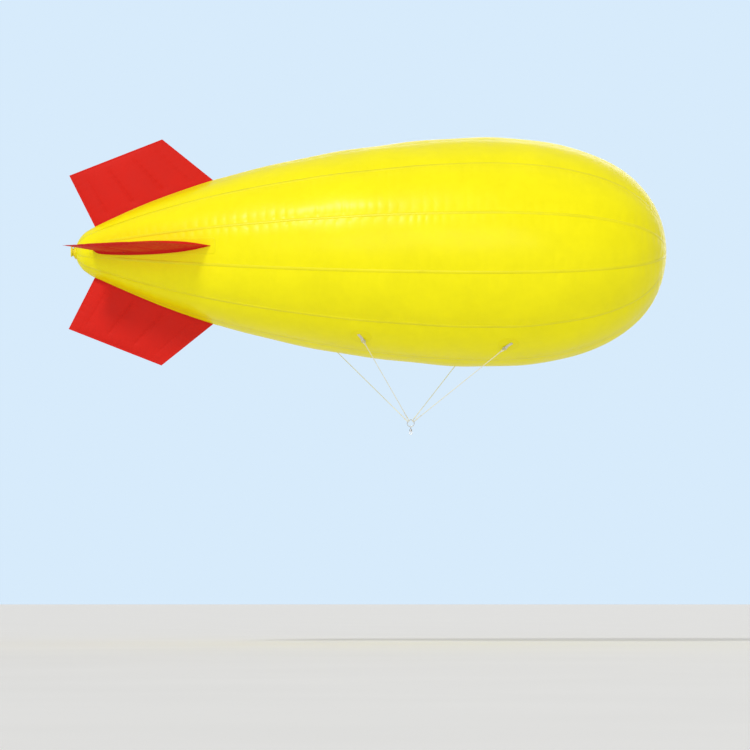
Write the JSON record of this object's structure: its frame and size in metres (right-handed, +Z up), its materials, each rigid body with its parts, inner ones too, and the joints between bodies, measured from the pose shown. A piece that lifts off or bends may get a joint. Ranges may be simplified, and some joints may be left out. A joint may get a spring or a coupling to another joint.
{
  "type": "advertising blimp balloon",
  "caption": "Helium advertising blimp: teardrop film envelope with inflated tail fins, a capped tail filling valve, and a rope bridle that gathers at a ring and swivel below.",
  "frame": {"origin": "centre of buoyancy of the envelope, on its long axis", "axes": "+X towards the nose, +Y to port, +Z up; the bridle hangs down towards -Z"},
  "size_m": [6.1774, 2.372, 3.075],
  "materials": {
    "envelope_film": "semi-gloss welded film",
    "fin_film": "semi-gloss welded film",
    "webbing": "woven strap",
    "line": "three-strand laid cord",
    "valve_plastic": "moulded",
    "steel": "polished stainless"
  },
  "bodies": {
    "root": {"envelope": "envelope_film", "nose_patch": "envelope_film", "tail_patch": "envelope_film", "valve_body": "valve_plastic", "fin_top": "fin_film", "fin_strip_top": "envelope_film", "fin_valve_top": "fin_film", "fin_right": "fin_film", "fin_strip_right": "envelope_film", "fin_valve_right": "fin_film", "fin_bottom": "fin_film", "fin_strip_bottom": "envelope_film", "fin_valve_bottom": "fin_film", "fin_left": "fin_film", "fin_strip_left": "envelope_film", "fin_valve_left": "fin_film", "load_patch_front_left": "envelope_film", "webbing_front_left": "webbing", "d_ring_front_left": "steel", "bridle_line_front_left": "line", "load_patch_front_right": "envelope_film", "webbing_front_right": "webbing", "d_ring_front_right": "steel", "bridle_line_front_right": "line", "load_patch_rear_left": "envelope_film", "webbing_rear_left": "webbing", "d_ring_rear_left": "steel", "bridle_line_rear_left": "line", "load_patch_rear_right": "envelope_film", "webbing_rear_right": "webbing", "d_ring_rear_right": "steel", "bridle_line_rear_right": "line", "gathering_ring": "steel", "swivel_upper": "steel"},
    "valve_lid": {"valve_cap": "valve_plastic"},
    "swivel_eye": {"swivel_lower": "steel"}
  },
  "joints": [
    {"name": "valve_cap_hinge", "type": "hinge", "parent": "root", "child": "valve_lid", "pos_m": [-3.588, 0, 0.058], "axis": [0, 1, 0], "range_deg": [0, 150]},
    {"name": "swivel_turn", "type": "hinge", "parent": "root", "child": "swivel_eye", "pos_m": [-0.092, 0, -1.849], "axis": [0, 0, 1], "continuous": true}
  ]
}
